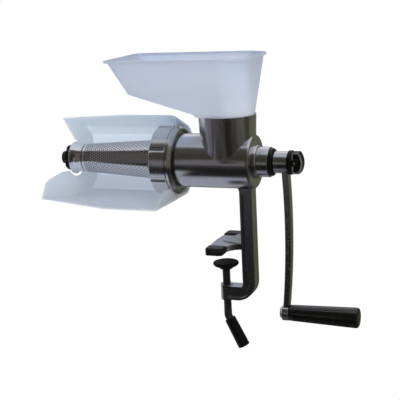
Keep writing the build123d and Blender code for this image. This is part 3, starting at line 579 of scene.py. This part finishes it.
def strainerCone():
    # thin sheet rolled to a cone, with staggered punched holes
    look = coneLook
    bm = bmesh.new()
    around, rows, sides, wall = look["around"], look["rows"], look["sides"], look["wall"]
    start, stop = look["near"] - look["plainNear"], look["far"] + look["plainFar"]
    slope = (look["farRadius"] - look["nearRadius"]) / (look["near"] - look["far"])
    pitch = (start - stop) / rows
    half = pi / around

    def radiusAt(x):
        return look["nearRadius"] + slope * (look["near"] - x)

    def point(x, turn, depth):
        reach = radiusAt(x) - depth
        return bm.verts.new(Vector((x, reach * cos(turn), reach * sin(turn))) / 1000 + Vector((0, 0, axisZ)))

    corners = {}

    def corner(row, place, depth):
        key = (row, place % (2 * around), depth)
        if key not in corners:
            corners[key] = point(start - row * pitch, key[1] * half, depth)
        return corners[key]

    for row in range(rows):
        for column in range(around):
            first = 2 * column + (row % 2)
            x = start - (row + 0.5) * pitch
            rings = []
            # painted shade: the inner side and the hole walls take the second slot, dark steel
            for depth in (0.0, wall):
                border = [corner(row, first + k, depth) for k in (0, 1, 2)]
                border += [corner(row + 1, first + k, depth) for k in (2, 1, 0)]
                ring = []
                for k in range(sides):
                    angle = 2 * pi * (k + 0.5) / sides
                    turn = (first + 1) * half + look["hole"] / 2 * sin(angle) / radiusAt(x)
                    ring.append(point(x - look["hole"] / 2 * cos(angle), turn, depth))
                stitch(bm, border, ring, 1 if depth else 0)
                rings.append(ring)
            for k in range(sides):
                after = (k + 1) % sides
                bm.faces.new((rings[0][k], rings[0][after], rings[1][after], rings[1][k])).material_index = 1
    for x, row in ((look["near"], 0), (look["far"], rows)):
        edges = {depth: [point(x, k * half, depth) for k in range(2 * around)] for depth in (0.0, wall)}
        for k in range(2 * around):
            after = (k + 1) % (2 * around)
            for depth, edge in edges.items():
                bm.faces.new((edge[k], edge[after], corner(row, k + 1, depth), corner(row, k, depth)))
            bm.faces.new((edges[wall][k], edges[wall][after], edges[0.0][after], edges[0.0][k]))
    made = finishMesh("perforatedCone", bm, "steel", "frame_body", ["strainer_cone"], angle=look["sharp"],
                      weighted=False)
    made.data.materials.append(paints["dark_steel"])  # hole walls and inside, dark steel as painted shade so that the holes read dark


def stitch(bm, border, ring, finish):
    # faces between a cell's border and its round hole, by angle about the hole's middle
    middle = sum((v.co for v in ring), Vector()) / len(ring)
    axis = (ring[0].co - middle).cross(ring[2].co - middle).normalized()
    across = (border[0].co - middle).normalized()
    up = axis.cross(across)

    def angleOf(v):
        spot = v.co - middle
        return atan2(spot.dot(up), spot.dot(across)) % (2 * pi)

    border = sorted(border, key=angleOf)
    ring = sorted(ring, key=angleOf)
    borderAngles = [angleOf(v) for v in border]
    ringAngles = [angleOf(v) for v in ring]
    i = j = 0
    n, m = len(border), len(ring)
    while i < n or j < m:
        nextBorder = borderAngles[(i + 1) % n] + (2 * pi if i + 1 >= n else 0)
        nextRing = ringAngles[(j + 1) % m] + (2 * pi if j + 1 >= m else 0)
        if j >= m or (i < n and nextBorder <= nextRing):
            bm.faces.new((border[i % n], border[(i + 1) % n], ring[j % m])).material_index = finish
            i += 1
        else:
            bm.faces.new((border[i % n], ring[(j + 1) % m], ring[j % m])).material_index = finish
            j += 1


strainerCone()
print("cone punched")


studio = {"floorDrop": 0.33, "floorReach": 6.0, "paper": ((0.84, 0.84, 0.85), (0.88, 0.88, 0.89)),
          "white": (1.0, 1.0, 1.0), "sky": (0.93, 0.95, 1.0), "ambient": 0.58}


def shownRays(paint):
    # 1 on rays from the camera, in mirror images and through clear pieces, else 0
    camera = paint.node("ShaderNodeLightPath", out="Is Camera Ray")
    mirrored = paint.node("ShaderNodeLightPath", out="Is Glossy Ray")
    through = paint.node("ShaderNodeLightPath", out="Is Transmission Ray")
    return camera.maths("MAXIMUM", camera.maths("MAXIMUM", camera, mirrored), through)


def studioFloor():
    paint = Paint("floorPaper")
    colour = paint.blendColours(paint.noise(30.0, 2.0), *studio["paper"])
    matte = paint.node("ShaderNodeBsdfPrincipled", None, {"Base Color": colour, "Roughness": 0.9})
    glow = paint.node("ShaderNodeEmission", None, {"Color": studio["white"], "Strength": 1.0})
    paint.outlet(paint.node("ShaderNodeMixShader", None, {0: shownRays(paint), 1: matte, 2: glow}))
    mesh = bpy.data.meshes.new("floor")
    z = cadLow.z - studio["floorDrop"]
    reach = studio["floorReach"]
    corners = [(-reach, -reach, z), (reach, -reach, z), (reach, reach, z), (-reach, reach, z)]
    mesh.from_pydata(corners, [], [(0, 1, 2, 3)])
    mesh.materials.append(paint.holder)
    floor = bpy.data.objects.new("floor", mesh)
    bpy.context.scene.collection.objects.link(floor)


def studioWorld():
    paint = Paint("studio", world=True)
    bpy.context.scene.world = paint.holder
    light = {"Color": studio["sky"], "Strength": studio["ambient"]}
    ambient = paint.node("ShaderNodeBackground", None, light)
    shown = paint.node("ShaderNodeBackground", None, {"Color": studio["white"], "Strength": 1.0})
    paint.outlet(paint.node("ShaderNodeMixShader", None, {0: shownRays(paint), 1: ambient, 2: shown}))


lamps = [
    {"name": "topBox", "at": (-0.15, 0.35, 1.35), "aim": (0, 0, 0.08), "size": 1.1, "power": 1.5},
    {"name": "leftBox", "at": (-1.0, -0.9, 0.7), "aim": (0, 0, 0.05), "size": 0.8, "power": 0.5},
    {"name": "frontBox", "at": (0.3, -1.5, 0.2), "aim": (-0.05, 0, 0.05), "size": 0.9, "power": 6.0},
    {"name": "rightBox", "at": (1.3, -0.5, 0.5), "aim": (0, 0, 0.1), "size": 0.9, "power": 8.5},
    {"name": "backBox", "at": (-0.3, 1.5, 0.5), "aim": (-0.05, 0, 0.12), "size": 1.0, "power": 9.0},
    {"name": "lowBackBox", "at": (-0.8, 1.2, -0.10), "aim": (-0.05, 0, 0.16), "size": 0.8, "power": 2.5},
]


def addLamps():
    for row in lamps:
        data = bpy.data.lights.new(row["name"], "AREA")
        data.size = row["size"]
        data.energy = row["power"]
        lamp = bpy.data.objects.new(row["name"], data)
        lamp.location = row["at"]
        aim = Vector(row["aim"]) - Vector(row["at"])
        lamp.rotation_euler = aim.to_track_quat("-Z", "Y").to_euler()
        lamp.visible_glossy = False
        bpy.context.scene.collection.objects.link(lamp)


wallPanels = {  # directions in degrees from +X, heights in metres, and colour
    "leftPanel": {"from": -178, "to": -140, "low": -0.42, "high": 1.6, "colour": (0.185, 0.182, 0.245)},
    "leftFrontPanel": {"from": -140, "to": -120, "low": -0.42, "high": 1.6, "colour": (0.104, 0.094, 0.090)},
    "windowPanel": {"from": -120, "to": -103, "low": -0.26, "high": 0.33, "colour": (0.205, 0.198, 0.215)},
    "underWindowPanel": {"from": -120, "to": -103, "low": -0.42, "high": -0.26,
                         "colour": (0.024, 0.022, 0.022)},
    "overWindowPanel": {"from": -120, "to": -103, "low": 0.33, "high": 1.6, "colour": (0.040, 0.037, 0.028)},
    "frontLeftPanel": {"from": -103, "to": -88, "low": -0.42, "high": 1.6, "colour": (0.052, 0.047, 0.030)},
    "frontPanel": {"from": -88, "to": -58, "low": -0.42, "high": 1.6, "colour": (0.020, 0.021, 0.016)},
    "frontRightPanel": {"from": -58, "to": -36, "low": -0.42, "high": 1.6, "colour": (0.075, 0.072, 0.066)},
    "rightPanel": {"from": -36, "to": -2, "low": -0.42, "high": 1.6, "colour": (0.135, 0.127, 0.106)},
    "brownPanel": {"from": -2, "to": 24, "low": -0.42, "high": 1.6, "colour": (0.045, 0.040, 0.030)},
    "olivePanel": {"from": 24, "to": 84, "low": -0.42, "high": 1.5, "colour": (0.128, 0.134, 0.090)},
    "backPanel": {"from": 84, "to": 150, "low": -0.42, "high": 0.74, "colour": (0.24, 0.28, 0.36)},
    "backHighPanel": {"from": 84, "to": 150, "low": 0.76, "high": 2.15, "colour": (0.90, 0.86, 0.90)},
}
flatBoards = {  # x and y ranges, the height at each end of y, and colour
    "floorBoard": {"x": (-2.1, 2.1), "y": (-2.1, -0.30), "z": (-0.44, -0.44), "colour": (0.012, 0.011, 0.011)},
    "underRightBoard": {"x": (-0.115, 2.1), "y": (-0.30, 0.55), "z": (-0.44, -0.44),
                        "colour": (0.055, 0.055, 0.050)},
    "underBoard": {"x": (-2.1, -0.115), "y": (-0.30, 0.55), "z": (-0.44, -0.44), "colour": (0.38, 0.39, 0.48)},
    "farFloorBoard": {"x": (-2.1, 2.1), "y": (0.55, 2.10), "z": (-0.44, -0.44),
                      "colour": (0.095, 0.100, 0.066)},
    "upperBoard": {"x": (-2.1, 2.1), "y": (-2.1, -0.85), "z": (1.60, 2.20), "colour": (0.055, 0.055, 0.045)},
    "ceilingBoard": {"x": (-2.1, 2.1), "y": (-0.85, 1.80), "z": (2.20, 2.20), "colour": (0.68, 0.68, 0.74)},
}
panelReach = 2.1


def addBoard(name, corners, colour):
    paint = Paint(name + "Card")
    paint.outlet(paint.node("ShaderNodeEmission", None, {"Color": colour, "Strength": 1.0}))
    mesh = bpy.data.meshes.new(name)
    mesh.from_pydata(corners, [], [(0, 1, 2, 3)])
    mesh.materials.append(paint.holder)
    board = bpy.data.objects.new(name, mesh)
    board.visible_camera = False
    board.visible_diffuse = False
    board.visible_transmission = False
    board.visible_shadow = False
    bpy.context.scene.collection.objects.link(board)


def addBoards():
    # boards that only mirror images see, as photographers stand them round a shiny product
    for name, row in wallPanels.items():
        one, two = radians(row["from"]), radians(row["to"])
        a = (panelReach * cos(one), panelReach * sin(one))
        b = (panelReach * cos(two), panelReach * sin(two))
        low, high = row["low"], row["high"]
        addBoard(name, [(*a, low), (*b, low), (*b, high), (*a, high)], row["colour"])
    for name, row in flatBoards.items():
        (x0, x1), (y0, y1), (z0, z1) = row["x"], row["y"], row["z"]
        addBoard(name, [(x0, y0, z0), (x1, y0, z0), (x1, y1, z1), (x0, y1, z1)], row["colour"])


cameraLook = {"turn": 21.7, "lift": 13.1, "roll": 2.9, "at": (0.3784, -1.0208, 0.3082), "lens": 90.0,
              "sensor": 36.0}  # degrees, metres, and millimetres for the lens and sensor


def addCamera():
    look = cameraLook
    turn, lift, roll = radians(look["turn"]), radians(look["lift"]), radians(look["roll"])
    back = Vector((sin(turn) * cos(lift), -cos(turn) * cos(lift), sin(lift)))
    right = Vector((cos(turn), sin(turn), 0.0))
    up = back.cross(right)
    across = right * cos(roll) - up * sin(roll)
    upward = right * sin(roll) + up * cos(roll)
    data = bpy.data.cameras.new("camera")
    data.lens = look["lens"]
    data.sensor_width = look["sensor"]
    camera = bpy.data.objects.new("camera", data)
    turned = Matrix((across, upward, back)).transposed().to_4x4()
    camera.matrix_world = Matrix.Translation(look["at"]) @ turned
    bpy.context.scene.collection.objects.link(camera)
    bpy.context.scene.camera = camera


studioFloor()
studioWorld()
addLamps()
addBoards()
addCamera()
bpy.context.scene.view_settings.view_transform = "Standard"
print("studio set")
